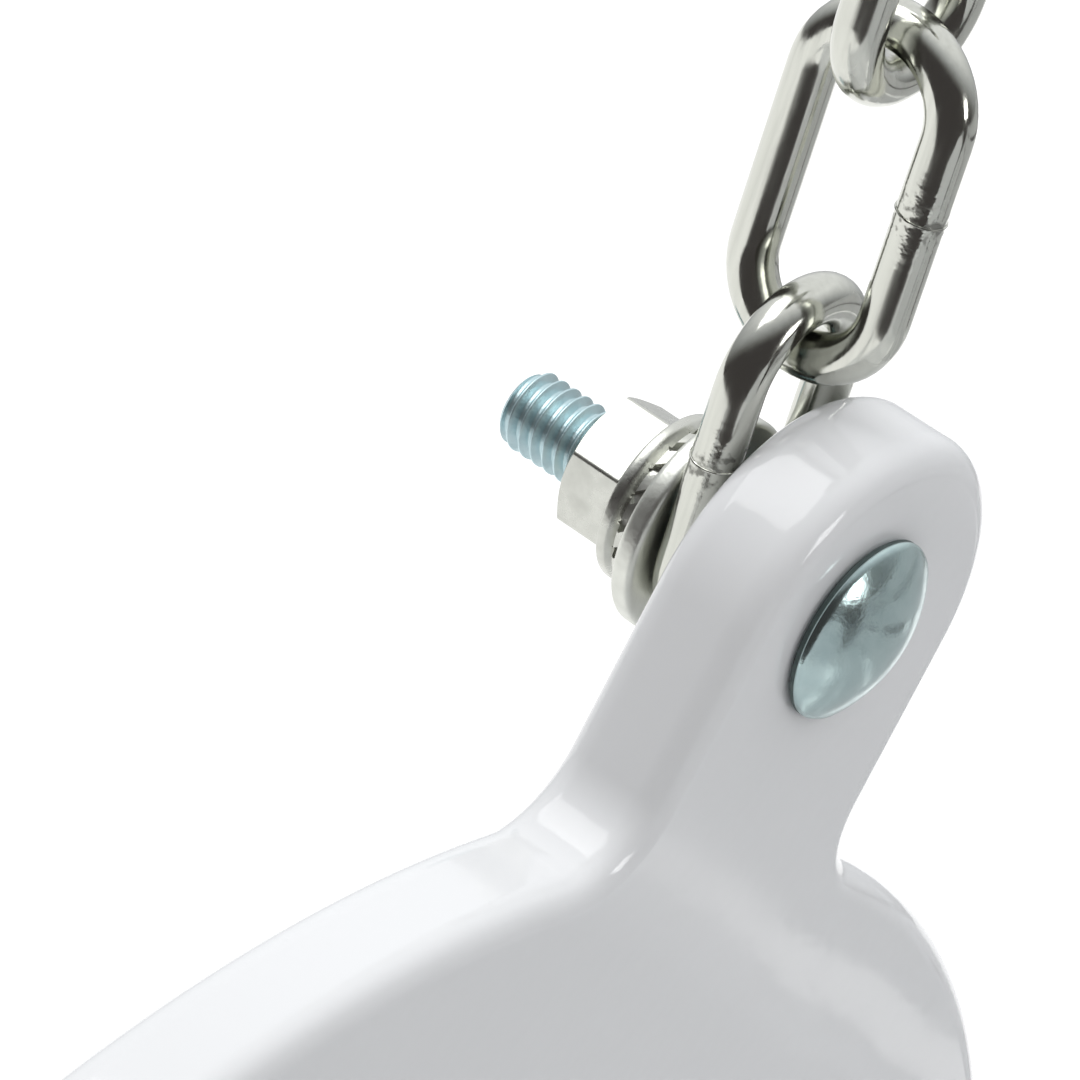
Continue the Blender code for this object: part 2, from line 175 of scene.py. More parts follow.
# White gloss enamel ------------------------------------------------------
# Alkyd enamel sprayed on sealed board. It levels out to a gloss that keeps a faint orange peel, and
# picks up a few specks of dust.


def new_finish(name):
    """A material with only its shader and its coordinates, which are the piece's own, in metres."""
    made = bpy.data.materials.new(name)
    made.use_nodes = True
    tree = made.node_tree
    place = add_node(tree, "ShaderNodeTexCoord").outputs["Object"]
    return made, tree, tree.nodes["Principled BSDF"], place


def per_metre(millimetres):
    """The scale of a pattern whose features are that far apart."""
    return 1000 / millimetres


enamel, tree, shader, place = new_finish("white gloss enamel")
shader.inputs["IOR"].default_value = 1.5
tone = add_node(
    tree, "ShaderNodeTexNoise", {"Scale": per_metre(60), "Detail": 3}, {"Vector": place}
)
whites = add_node(
    tree,
    "ShaderNodeMix",
    {"A": colour("#e9eaeb"), "B": colour("#e4e5e6")},
    {"Factor": tone.outputs["Fac"]},
    data_type="RGBA",
)
specks = add_node(tree, "ShaderNodeTexVoronoi", {"Scale": per_metre(15)}, {"Vector": place})
speck_edge = add_node(
    tree,
    "ShaderNodeMapRange",
    {"From Min": 0.0075, "From Max": 0.013, "To Min": 0.55, "To Max": 0.0},
    {"Value": specks.outputs["Distance"]},
)
dusty = add_node(
    tree,
    "ShaderNodeMix",
    {"B": colour("#8d8880")},
    {"Factor": speck_edge.outputs["Result"], "A": whites.outputs["Result"]},
    data_type="RGBA",
)
tree.links.new(dusty.outputs["Result"], shader.inputs["Base Color"])
haze = add_node(
    tree, "ShaderNodeTexNoise", {"Scale": per_metre(22), "Detail": 4}, {"Vector": place}
)
gloss = add_node(
    tree,
    "ShaderNodeMapRange",
    {"From Min": 0.3, "From Max": 0.7, "To Min": 0.07, "To Max": 0.15},
    {"Value": haze.outputs["Fac"]},
)
tree.links.new(gloss.outputs["Result"], shader.inputs["Roughness"])
peel = add_node(
    tree, "ShaderNodeTexNoise", {"Scale": per_metre(2.2), "Detail": 1}, {"Vector": place}
)
peel_bump = add_node(
    tree, "ShaderNodeBump", {"Strength": 0.05, "Distance": 0.0004}, {"Height": peel.outputs["Fac"]}
)
flow = add_node(
    tree, "ShaderNodeTexNoise", {"Scale": per_metre(28), "Detail": 1}, {"Vector": place}
)
flow_bump = add_node(
    tree,
    "ShaderNodeBump",
    {"Strength": 0.12, "Distance": 0.002},
    {"Height": flow.outputs["Fac"], "Normal": peel_bump.outputs["Normal"]},
)
tree.links.new(flow_bump.outputs["Normal"], shader.inputs["Normal"])


# End panels --------------------------------------------------------------
# Each is one 11.5 mm board, sawn to a round ear over a crown of 125 mm radius, run round with a
# rounding-over cutter, bored and squared for the carriage bolt, and drilled for three screws.

clearance = 0.0003
bolt_low, bolt_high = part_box("ear_bolt_left")
bolt_level = (bolt_low.z + bolt_high.z) / 2
panel_low, panel_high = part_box("end_panel_left")
panel_face = -panel_high.x
panel_thick = panel_high.x - panel_low.x
hang_lean = math.radians(18.4)
seat_place = Matrix.Translation((0, 0, bolt_level)) @ Matrix.Rotation(-hang_lean, 4, "X")


def start_point(name, place):
    """A mesh of one selected vertex, open in edit mode."""
    bpy.ops.object.select_all(action="DESELECT")
    bpy.ops.mesh.primitive_plane_add(size=0.001, location=place)
    bpy.context.object.name = name
    bpy.ops.object.mode_set(mode="EDIT")
    bpy.ops.mesh.merge(type="CENTER")


def draw(step):
    """Extrudes the selection by a step."""
    bpy.ops.mesh.extrude_region_move(TRANSFORM_OT_translate={"value": step})


def sweep(centre, turn, steps):
    """Carries the selection round a line along X through (y, z), from +Y towards +Z."""
    bpy.ops.mesh.spin(steps=steps, angle=-turn, center=(0, *centre), axis=(1, 0, 0))


def close_up(threshold=1e-6):
    """Merges doubles, turns the faces outwards and leaves edit mode."""
    bpy.ops.mesh.select_all(action="SELECT")
    bpy.ops.mesh.remove_doubles(threshold=threshold)
    bpy.ops.mesh.normals_make_consistent(inside=False)
    bpy.ops.object.mode_set(mode="OBJECT")


def pick(obj):
    """Makes a piece active, and the only one selected."""
    bpy.ops.object.select_all(action="DESELECT")
    obj.select_set(True)
    bpy.context.view_layer.objects.active = obj


def modify(obj, kind, **settings):
    """Adds a modifier and applies it."""
    pick(obj)
    modifier = obj.modifiers.new(kind, kind)
    for name, value in settings.items():
        setattr(modifier, name, value)
    bpy.ops.object.modifier_apply(modifier=modifier.name)


def cut_with(obj, cutter, operation="DIFFERENCE"):
    """Cuts, joins or trims a piece with another, which is used up."""
    modify(obj, "BOOLEAN", operation=operation, object=cutter)
    bpy.data.objects.remove(cutter)


def finish_piece(obj, name, material, body, nodes, matrix=None):
    """Puts the finished mesh in place, gives it its material and hands it to the frame."""
    pick(obj)
    if matrix is not None:
        obj.matrix_world = matrix @ obj.matrix_world
    bpy.ops.object.transform_apply(location=True, rotation=True, scale=True)
    obj.name = obj.data.name = name
    obj.data.materials.clear()
    obj.data.materials.append(material)
    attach(obj, body)
    if nodes:
        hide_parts(*nodes)


def copy_of(obj):
    """A copy with its own mesh."""
    made = obj.copy()
    made.data = obj.data.copy()
    bpy.context.scene.collection.objects.link(made)
    return made


def smooth(obj, degrees, weighted=False):
    """Shades smooth up to an angle. Weighted normals keep flat faces flat beside round edges."""
    pick(obj)
    bpy.ops.object.shade_smooth_by_angle(angle=math.radians(degrees))
    if weighted:
        modify(obj, "WEIGHTED_NORMAL", keep_sharp=True)


quarter = math.pi / 2
panel_axis = 0.0023
ear_radius, ear_level = 0.0195, -0.0016
crown_radius, crown_top = 0.125, -0.0238
neck_fillet = 0.008
front_slope, rear_slope = math.radians(70), math.radians(58)
corner_radius = 0.045
seat_tilt = math.radians(10)
corner_back, corner_drop = 0.1936, 0.268
panel_below_seat = 0.082
panel_edge = 0.003


def seat_point(forward, up):
    """A (y, z) point measured from the corner of seat and back, along the seat and square to it."""
    y = corner_back - forward * math.cos(seat_tilt) - up * math.sin(seat_tilt)
    return y, -corner_drop - forward * math.sin(seat_tilt) + up * math.cos(seat_tilt)


def polar(centre, radius, angle):
    """The (y, z) point on a circle, at an angle from +Y towards +Z."""
    return centre[0] + radius * math.cos(angle), centre[1] + radius * math.sin(angle)


def meet(point_a, angle_a, point_b, angle_b):
    """Where two lines meet, each given by a point and a direction."""
    dy, dz = point_b[0] - point_a[0], point_b[1] - point_a[1]
    along = (dy * math.sin(angle_b) - dz * math.cos(angle_b)) / math.sin(angle_b - angle_a)
    return polar(point_a, along, angle_a)


ear = (panel_axis, ear_level)
crown = (panel_axis, crown_top - crown_radius)
neck_out = ear_radius + neck_fillet
neck_level = crown[1] + math.sqrt((crown_radius + neck_fillet) ** 2 - neck_out**2)
neck_lean = math.acos(neck_out / (crown_radius + neck_fillet))
front_angle, rear_angle = quarter + front_slope, quarter - rear_slope
inner_base = seat_point(0, corner_radius - panel_below_seat)
inset = crown_radius - corner_radius
front_start, rear_start = polar(crown, inset, front_angle), polar(crown, inset, rear_angle)
front_corner = meet(front_start, front_angle + quarter, inner_base, seat_tilt)
rear_corner = meet(rear_start, rear_angle - quarter, inner_base, seat_tilt)


def straight_to(point):
    """Draws a straight side from the selected vertex to a (y, z) point."""
    mesh = bpy.context.object
    mesh.update_from_editmode()
    here = next(mesh.matrix_world @ v.co for v in mesh.data.vertices if v.select)
    draw((0, point[0] - here.y, point[1] - here.z))


# Round the outline: ear, front neck, crown, front corner, rear corner, crown and rear neck.
start_point("panel", (-panel_face, panel_axis + ear_radius, ear_level))
sweep(ear, math.pi, 64)
straight_to((panel_axis - ear_radius, neck_level))
sweep((panel_axis - neck_out, neck_level), -neck_lean, 20)
sweep(crown, front_angle - (math.pi - neck_lean), 48)
straight_to(polar(front_corner, corner_radius, front_angle))
sweep(front_corner, seat_tilt + 3 * quarter - front_angle, 8)
straight_to(polar(rear_corner, corner_radius, seat_tilt - quarter))
sweep(rear_corner, rear_angle - (seat_tilt - quarter), 8)
straight_to(polar(crown, crown_radius, rear_angle))
sweep(crown, neck_lean - rear_angle, 48)
sweep((panel_axis + neck_out, neck_level), -neck_lean, 20)
straight_to((panel_axis + ear_radius, ear_level))
bpy.ops.mesh.select_all(action="SELECT")
bpy.ops.mesh.remove_doubles(threshold=1e-6)
bpy.ops.mesh.edge_face_add()
draw((-panel_thick, 0, 0))
close_up()
bpy.ops.object.transform_apply(location=True)
panel = bpy.context.object
arris = {"limit_method": "ANGLE", "angle_limit": math.radians(60)}
modify(panel, "BEVEL", width=panel_edge, segments=8, **arris)


def drill(obj, place, radius, depth, rotation):
    """Bores a round hole, centred on a place."""
    bpy.ops.object.select_all(action="DESELECT")
    bpy.ops.mesh.primitive_cylinder_add(
        vertices=48, radius=radius, depth=depth, location=place, rotation=rotation
    )
    cut_with(obj, bpy.context.object)


along_x = (0, quarter, 0)
bolt_radius = 0.0039
middle = -panel_face - panel_thick / 2
drill(panel, (middle, 0, 0), bolt_radius + clearance, 3 * panel_thick, along_x)
neck_square, neck_length = 0.0079 + 2 * clearance, 0.005 + clearance
bpy.ops.mesh.primitive_cube_add(
    size=1, location=(-panel_face, 0, 0), scale=(2 * neck_length, neck_square, neck_square)
)
cut_with(panel, bpy.context.object)
slat_thick = 0.018
bearer_top = -slat_thick - clearance
bearer_depth = 0.050
pan_shank = 0.003
for forward in (0.05, 0.20, 0.35):
    y, z = seat_point(forward, bearer_top - bearer_depth / 2)
    drill(panel, (middle, y, z), pan_shank + clearance, 3 * panel_thick, along_x)
other_panel = copy_of(panel)
for board, word, way in ((panel, "left", 1), (other_panel, "right", -1)):
    pick(board)
    board.scale.x = way
    bpy.ops.object.transform_apply(location=True, rotation=True, scale=True)
    bpy.ops.object.mode_set(mode="EDIT")
    close_up()
    smooth(board, 30, weighted=True)
    node = "end_panel_" + word
    finish_piece(board, "end_board_" + word, enamel, "seat", [node], seat_place)


# Seat and back slats -----------------------------------------------------
# Planed boards with rounded arrises, enamelled before assembly. Each is countersunk for three
# screws, one into each of the bearers or stiles.

slat_reach = panel_face - 0.0015
slat_edge = 0.003
screw_head_radius, screw_head_depth = 0.0042, 0.0026


def plank(centre, size, turn, edge):
    """A board with rounded edges; size is along X, along the seat and square to it."""
    bpy.ops.object.select_all(action="DESELECT")
    bpy.ops.mesh.primitive_cube_add(size=1, location=centre, rotation=(turn, 0, 0), scale=size)
    board = bpy.context.object
    bpy.ops.object.transform_apply(location=True, rotation=True, scale=True)
    modify(board, "BEVEL", width=edge, segments=5, **arris)
    return board


def turned(name, profile, steps):
    """Spins a section of (x, radius) points, from axis to axis or a closed ring, about X."""
    start_point(name, (*profile[0], 0))
    for (x, radius), (next_x, next_radius) in zip(profile, profile[1:]):
        draw((next_x - x, next_radius - radius, 0))
    bpy.ops.mesh.select_all(action="SELECT")
    sweep((0, 0), math.tau, steps)
    close_up()
    bpy.ops.object.transform_apply(location=True)
    return bpy.context.object


screw_shank, sink_above, sink_length = 0.0021, 0.001, 0.03
sink_profile = [
    (sink_above, 0),
    (sink_above, screw_head_radius + clearance + sink_above),
    (-screw_head_depth, screw_shank + clearance),
    (-sink_length, screw_shank + clearance),
    (-sink_length, 0),
]
countersink = turned("countersink", sink_profile, 32)


def outward(point, direction):
    """Takes a piece made along X, with its face at the origin, to a point and a direction."""
    turn = Vector(direction).to_track_quat("X", "Z").to_matrix().to_4x4()
    return Matrix.Translation(point) @ turn


def countersunk(board, places):
    """Countersinks a board at each place, and shades it."""
    for place in places:
        cutter = copy_of(countersink)
        cutter.matrix_world = place
        cut_with(board, cutter)
    smooth(board, 30, weighted=True)


def column(node):
    """The middle of a node across the seat."""
    low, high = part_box(node)
    return (low.x + high.x) / 2


words = ("left", "middle", "right")
screw_places = {}
seat_slats, slat_width, slat_gap = 7, 0.048, 0.008
seat_up = (0, -math.sin(seat_tilt), math.cos(seat_tilt))
for i in range(seat_slats):
    forward = i * (slat_width + slat_gap) + slat_width / 2
    y, z = seat_point(forward, 0)
    centre = (0, *seat_point(forward, -slat_thick / 2))
    board = plank(centre, (2 * slat_reach, slat_width, slat_thick), seat_tilt, slat_edge)
    bearers = [column("seat_bearer_" + word) for word in words]
    places = [outward((x, y, z), seat_up) for x in bearers]
    countersunk(board, places)
    node = f"seat_slat_{i + 1}"
    screw_places.update({f"{node}_screw_{word}": place for word, place in zip(words, places)})
    name = f"seat_board_{i + 1}"
    finish_piece(board, name, enamel, "seat", [node], seat_place)

back_slats, back_width, back_thick, back_gap, back_raise = 5, 0.058, 0.015, 0.010, 0.045
for i in range(back_slats):
    z = -corner_drop + back_raise + i * (back_width + back_gap) + back_width / 2
    centre = (0, corner_back + back_thick / 2, z)
    board = plank(centre, (2 * slat_reach, back_thick, back_width), 0, slat_edge)
    stiles = [column("back_stile_" + word) for word in words]
    places = [outward((x, corner_back, z), (0, -1, 0)) for x in stiles]
    countersunk(board, places)
    node = f"back_slat_{i + 1}"
    screw_places.update({f"{node}_screw_{word}": place for word, place in zip(words, places)})
    name = f"back_board_{i + 1}"
    finish_piece(board, name, enamel, "seat", [node], seat_place)
bpy.data.objects.remove(countersink)


# Bearers and stiles ------------------------------------------------------
# Three bearers on edge carry the seat slats. A stile laps the inner face of each at the rear and
# carries the back. All are painted before they are screwed together.

bar_edge = 0.0024
seat_depth = seat_slats * slat_width + (seat_slats - 1) * slat_gap
bearer_rear, bearer_setback = 0.053, 0.010
bearer_front = seat_depth - bearer_setback
stile_depth, stile_above = 0.032, 0.008
back_height = back_raise + back_slats * back_width + (back_slats - 1) * back_gap
stile_face = corner_back + back_thick + clearance
stile_foot = seat_point(-bearer_rear, bearer_top - bearer_depth)[1]
stile_head = -corner_drop + back_height + stile_above
for word in words:
    low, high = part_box("seat_bearer_" + word)
    y, z = seat_point((bearer_front - bearer_rear) / 2, bearer_top - bearer_depth / 2)
    size = (high.x - low.x, bearer_front + bearer_rear, bearer_depth)
    bearer = plank(((low.x + high.x) / 2, y, z), size, seat_tilt, bar_edge)
    smooth(bearer, 30, weighted=True)
    node = "seat_bearer_" + word
    finish_piece(bearer, "bearer_bar_" + word, enamel, "seat", [node], seat_place)

    low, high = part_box("back_stile_" + word)
    centre = ((low.x + high.x) / 2, stile_face + stile_depth / 2, (stile_foot + stile_head) / 2)
    size = (high.x - low.x, stile_depth, stile_head - stile_foot)
    stile = plank(centre, size, 0, bar_edge)
    smooth(stile, 30, weighted=True)
    node = "back_stile_" + word
    finish_piece(stile, "stile_bar_" + word, enamel, "seat", [node], seat_place)


# Zinc plate --------------------------------------------------------------
# Steel electroplated with zinc and passivated. The bolts' thicker film gives a blue tint, and the
# nuts, washers and screws are plainer, with a warm grey. Barrel plating leaves it faintly mottled.


def plated(name, light, dark, smooth_gloss, rough_gloss, mottle_mm, bump):
    """A plated metal: two tints and two glosses, mottled, over a fine hammered grain."""
    made, tree, shader, place = new_finish(name)
    shader.inputs["Metallic"].default_value = 1
    mottle = add_node(
        tree, "ShaderNodeTexNoise", {"Scale": per_metre(mottle_mm), "Detail": 5}, {"Vector": place}
    )
    tint = add_node(
        tree,
        "ShaderNodeMix",
        {"A": colour(light), "B": colour(dark)},
        {"Factor": mottle.outputs["Fac"]},
        data_type="RGBA",
    )
    tree.links.new(tint.outputs["Result"], shader.inputs["Base Color"])
    polish = add_node(
        tree,
        "ShaderNodeMapRange",
        {"From Min": 0.3, "From Max": 0.7, "To Min": smooth_gloss, "To Max": rough_gloss},
        {"Value": mottle.outputs["Fac"]},
    )
    tree.links.new(polish.outputs["Result"], shader.inputs["Roughness"])
    grain = add_node(
        tree, "ShaderNodeTexNoise", {"Scale": per_metre(0.45), "Detail": 3}, {"Vector": place}
    )
    relief = add_node(
        tree,
        "ShaderNodeBump",
        {"Strength": bump, "Distance": 0.0001},
        {"Height": grain.outputs["Fac"]},
    )
    tree.links.new(relief.outputs["Normal"], shader.inputs["Normal"])
    return made


blue_zinc = plated("blue passivated zinc", "#c0d2d0", "#adc2c3", 0.14, 0.24, 1.6, 0.16)
# The thread's zinc is rougher, as rolled threads are. Its tint is also painted lighter than the
# bolt's, as painted light on the thread.
rolled_lightened_zinc = plated("blue passivated rolled thread painted lighter", "#cfe3e6", "#b7d0d5", 0.34, 0.5, 1.6, 0.4)
# A dark grey-green zinc that paints the shade of the gap under the carriage bolt head onto the side
# of its rim.
rim_painted_shade_zinc = plated("painted shade on bolt head rim", "#6d7977", "#5a6665", 0.45, 0.6, 1.2, 0.4)
bright_zinc = plated("clear zinc plate", "#d0d1ca", "#bcbdb6", 0.22, 0.36, 1.8, 0.2)
tumbled_zinc = plated("tumbled zinc plate", "#dfe0d9", "#cccec7", 0.34, 0.46, 2.4, 0.25)


# Screws ------------------------------------------------------------------
# Raised countersunk wood screws hold the slats, and larger pan heads fix the end panels and the
# stiles to the bearers. Each has a driven cross recess, and they stop at any angle.

chance = random.Random(5)
recess_taper = 0.45


def recess(screw, face, wing, depth):
    """Cuts a cross recess that tapers inwards, square to X at face."""
    for turn in (0, quarter):
        bpy.ops.object.select_all(action="DESELECT")
        bpy.ops.mesh.primitive_cube_add(
            size=1, location=(face, 0, 0), rotation=(turn, 0, 0), scale=(2 * depth, wing, wing / 4)
        )
        blade = bpy.context.object
        bpy.ops.object.transform_apply(location=True, rotation=True, scale=True)
        for vertex in blade.data.vertices:
            if vertex.co.x < face:
                vertex.co.y *= recess_taper
                vertex.co.z *= recess_taper
        cut_with(screw, blade)


raised_top = 0.0006
slat_screw_profile = [
    (raised_top, 0),
    (0.0005, 0.0018),
    (0.0002, 0.0034),
    (-0.0002, screw_head_radius),
    (-0.0004, screw_head_radius),
    (-screw_head_depth, screw_shank),
    (-0.029, screw_shank),
    (-0.031, 0),
]
slat_screw = turned("slat_screw", slat_screw_profile, 40)
recess(slat_screw, raised_top, 0.0044, 0.0019)
smooth(slat_screw, 35)
for name, place in screw_places.items():
    screw = copy_of(slat_screw)
    twist = Matrix.Rotation(chance.uniform(0, quarter), 4, "X")
    finish_piece(screw, name, bright_zinc, "seat", [], seat_place @ place @ twist)
bpy.data.objects.remove(slat_screw)

pan_low, pan_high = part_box("panel_screw_right_1")
pan_length = pan_high.x - pan_low.x
pan_radius, pan_height = 0.0068, 0.003
pan_profile = [(0, 0)]
pan_steps = 10
for i in range(1, pan_steps + 1):
    angle = quarter * i / pan_steps
    pan_profile.append((-pan_height * (1 - math.cos(angle)), pan_radius * math.sin(angle)))
pan_profile += [
    (-pan_height, pan_shank),
    (pan_shank - pan_length, pan_shank),
    (-pan_length, 0),
]
pan_screw = turned("pan_screw", pan_profile, 48)
recess(pan_screw, 0, 0.006, 0.0022)
smooth(pan_screw, 35)
# The way each group's heads face along X.
heads_face = {
    "panel_screw_left": -1,
    "panel_screw_right": 1,
    "stile_screw_left": 1,
    "stile_screw_middle": -1,
    "stile_screw_right": -1,
}
for group, way in heads_face.items():
    for node in sorted(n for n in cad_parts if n.startswith(group)):
        low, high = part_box(node)
        screw = copy_of(pan_screw)
        face = high.x if way > 0 else low.x
        place = outward((face, (low.y + high.y) / 2, (low.z + high.z) / 2), (way, 0, 0))
        reach = Matrix.Diagonal(((high.x - low.x) / pan_length, 1, 1, 1))
        twist = Matrix.Rotation(chance.uniform(0, quarter), 4, "X")
        place = place @ twist @ reach
        finish_piece(screw, node + "_driven", bright_zinc, "seat", [node], place)
bpy.data.objects.remove(pan_screw)


# Carriage bolts ----------------------------------------------------------
# 5/16 in coach bolts, cold headed and rolled. The low dome is on the inside, a square neck is in
# the panel, and the coarse thread, 18 to the inch, ends square with a chamfer.

pitch = 0.0254 / 18
thread_depth, crest_round = 0.00076, 0.00007
thread_root = bolt_radius - thread_depth
head_radius, head_rim, head_dome = 0.009, 0.0009, 0.00304
dome_sphere = (head_radius**2 + head_dome**2) / (2 * head_dome)
tail = panel_face + bolt_low.x
thread_start, thread_runout = -0.014, 0.0007
soft_edge = 0.0002
# Below this level, the side of the head's rim is painted dark as painted shade. A profile point
# sits here so that the painted band ends on an edge.
rim_shade_top = clearance + 0.0006

dome_top = clearance + head_rim + head_dome
dome_steps = 24
head_profile = []
for i in range(dome_steps + 1):
    angle = math.asin((head_radius - soft_edge) / dome_sphere) * i / dome_steps
    x = dome_top - dome_sphere * (1 - math.cos(angle))
    head_profile.append((x, dome_sphere * math.sin(angle)))
head_profile += [
    (clearance + head_rim - soft_edge / 2, head_radius - soft_edge / 4),
    (clearance + head_rim - soft_edge, head_radius),
    (rim_shade_top, head_radius),
    (clearance + soft_edge, head_radius),
    (clearance, head_radius - soft_edge),
    (clearance, bolt_radius),
    (thread_start + 0.0003, bolt_radius),
    (thread_start - thread_runout, thread_root - soft_edge),
    (thread_start - thread_runout, 0),
]
bolt = turned("bolt", head_profile, 96)
neck = neck_square - 2 * clearance
bpy.ops.object.select_all(action="DESELECT")
bpy.ops.mesh.primitive_cube_add(
    size=1, location=((clearance - neck_length) / 2, 0, 0), scale=(neck_length, neck, neck)
)
cut_with(bolt, bpy.context.object, "UNION")

start_point("thread", (tail - pitch, thread_root, 0))
for along, rise in ((1 / 8, 0), (5 / 16, 1), (1 / 8, 0), (5 / 16, -1), (1 / 8, 0)):
    draw((pitch * along, thread_depth * rise, 0))
bpy.ops.mesh.select_all(action="SELECT")
bpy.ops.mesh.bevel(offset=crest_round, segments=3, affect="VERTICES")
bpy.ops.object.mode_set(mode="OBJECT")
bpy.ops.object.transform_apply(location=True)
thread = bpy.context.object
turns = math.ceil((thread_start - tail) / pitch) + 2
winding = {"axis": "X", "screw_offset": pitch, "iterations": turns}
modify(thread, "SCREW", steps=48, render_steps=48, **winding)
bpy.ops.object.mode_set(mode="EDIT")
bpy.ops.mesh.select_all(action="SELECT")
bpy.ops.mesh.remove_doubles(threshold=1e-7)
bpy.ops.mesh.select_all(action="DESELECT")
bpy.ops.mesh.select_non_manifold()
bpy.ops.mesh.edge_face_add()
close_up(1e-7)
tail_chamfer, wide = 0.0008, 0.003
blank_profile = [
    (tail, 0),
    (tail, bolt_radius - tail_chamfer),
    (tail + tail_chamfer + wide, bolt_radius + wide),
    (thread_start, bolt_radius + wide),
    (thread_start, 0),
]
cut_with(thread, turned("blank", blank_profile, 96), "INTERSECT")
cut_with(bolt, thread, "UNION")
smooth(bolt, 25)
sides = (("left", 0), ("right", math.pi))


def at_ear(turn, x):
    """The place at an ear for a piece made for the left one, whose face is at x there."""
    return seat_place @ Matrix.Rotation(turn, 4, "Z") @ Matrix.Translation((x, 0, 0))


# The rolled thread has its own rougher finish, with a tint painted lighter as painted light. The
# side of the head's rim is painted dark grey-green as painted shade of the gap under the head.
for word, turn in sides:
    node = "ear_bolt_" + word
    made = copy_of(bolt)
    finishes = []
    for face in made.data.polygons:
        on_side = face.center.yz.length > head_radius - 0.0003 and face.center.x < rim_shade_top
        finishes.append(1 if face.center.x < thread_start else 2 if on_side else 0)
    place = at_ear(turn, -panel_face)
    finish_piece(made, "carriage_bolt_" + word, blue_zinc, "seat", [node], place)
    made.data.materials.append(rolled_lightened_zinc)
    made.data.materials.append(rim_painted_shade_zinc)
    for face, finish in zip(made.data.polygons, finishes):
        face.material_index = finish
bpy.data.objects.remove(bolt)


# Washers -----------------------------------------------------------------
# A plain 3/8 in washer, blanked from sheet and tumbled, so its rim is rounded over. It turns freely
# between the chain's first link and the lock washer.

washer_low, washer_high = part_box("washer_left")
washer_thick = washer_high.x - washer_low.x
washer_radius, washer_hole, washer_edge = 0.0108, 0.0044, 0.0007
washer_profile = [
    (0, washer_hole),
    (0, washer_radius),
    (-washer_thick, washer_radius),
    (-washer_thick, washer_hole),
    (0, washer_hole),
]
washer = turned("washer", washer_profile, 96)
modify(washer, "BEVEL", width=washer_edge, segments=5, **arris)
smooth(washer, 40)
for word, turn in sides:
    place = at_ear(turn, washer_high.x)
    node, name = "washer_" + word, "plain_washer_" + word
    finish_piece(copy_of(washer), name, tumbled_zinc, "seat", [node], place)
bpy.data.objects.remove(washer)


# Lock washers ------------------------------------------------------------
# Spring steel with a dished collar towards the nut and eighteen teeth twisted out of its rim, which
# bite the plain washer and the nut.

lock_low, lock_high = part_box("lock_washer_left")
lock_thick = lock_high.x - lock_low.x
lock_radius, lock_hole, lock_teeth = 0.0085, 0.0044, 18
teeth_depth, tooth_twist = 0.0015, math.radians(42)
slot_width, slot_depth = 0.001, 0.0018
lock_edge = 0.0004
groove = 0.0007
collar_profile = [
    (0, lock_hole),
    (0, lock_radius - soft_edge),
    (-soft_edge, lock_radius),
    (-teeth_depth + soft_edge, lock_radius),
    (-teeth_depth - soft_edge / 2, lock_radius - groove),
    (-teeth_depth - groove, lock_radius - soft_edge / 2),
    (-teeth_depth - groove - soft_edge, lock_radius),
]
collar_steps = 6
for i in range(collar_steps + 1):
    angle = quarter * i / collar_steps
    x = -lock_thick + lock_edge * (1 - math.sin(angle))
    collar_profile.append((x, lock_radius - lock_edge * (1 - math.cos(angle))))
collar_profile += [(-lock_thick, lock_hole), (0, lock_hole)]
lock_washer = turned("lock_washer", collar_profile, 96)

for i in range(lock_teeth):
    bpy.ops.object.select_all(action="DESELECT")
    bpy.ops.mesh.primitive_cube_add(
        size=1, rotation=(0, 0, tooth_twist), scale=(2 * teeth_depth, slot_width, slot_depth)
    )
    slot = bpy.context.object
    slot.matrix_world = (
        Matrix.Rotation(math.tau * i / lock_teeth, 4, "X")
        @ Matrix.Translation((-teeth_depth / 4, 0, lock_radius))
        @ slot.matrix_world
    )
    cut_with(lock_washer, slot)
smooth(lock_washer, 30)
for word, turn in sides:
    place = at_ear(turn, lock_high.x)
    node, name = "lock_washer_" + word, "tooth_washer_" + word
    finish_piece(copy_of(lock_washer), name, bright_zinc, "seat", [node], place)
bpy.data.objects.remove(lock_washer)


# Nuts --------------------------------------------------------------------
# A 5/16 in hexagon nut, 1/2 in across its flats, cold formed with a 30 degree chamfer on the outer
# face and corners left soft by plating.

nut_low, nut_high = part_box("nut_left")
nut_height = nut_high.x - nut_low.x
nut_flats, nut_round, nut_turn = 0.0127, 0.0003, math.radians(53.4)
nut_corner = nut_flats / math.sqrt(3)
nut = turned("nut", [(0, 0), (0, nut_corner), (-nut_height, nut_corner), (-nut_height, 0)], 6)
# Its six long corners are selected and rounded.
bpy.ops.object.mode_set(mode="EDIT")
bpy.ops.mesh.select_all(action="DESELECT")
bpy.ops.object.mode_set(mode="OBJECT")
for edge in nut.data.edges:
    ends = [nut.data.vertices[i].co for i in edge.vertices]
    off_axis = min(end.yz.length for end in ends) > 0.001
    edge.select = off_axis and abs(ends[0].x - ends[1].x) > 0.001
bpy.ops.object.mode_set(mode="EDIT")
bpy.ops.mesh.bevel(offset=nut_round, segments=3)
bpy.ops.object.mode_set(mode="OBJECT")
chamfer = math.tan(math.radians(30))
over, chamfer_start = 0.003, nut_flats / 2 - soft_edge
outer_face = -nut_height
cone_profile = [
    (over, 0),
    (over, nut_corner + over),
    (outer_face + soft_edge + (nut_corner + over - chamfer_start) * chamfer, nut_corner + over),
    (outer_face + soft_edge, chamfer_start),
    (outer_face + soft_edge / 4, chamfer_start - soft_edge),
    (outer_face, chamfer_start - 2.5 * soft_edge),
    (outer_face, 0),
]
cut_with(nut, turned("cone", cone_profile, 96), "INTERSECT")
drill(nut, (-nut_height / 2, 0, 0), bolt_radius + clearance, 3 * nut_height, along_x)
smooth(nut, 40, weighted=True)
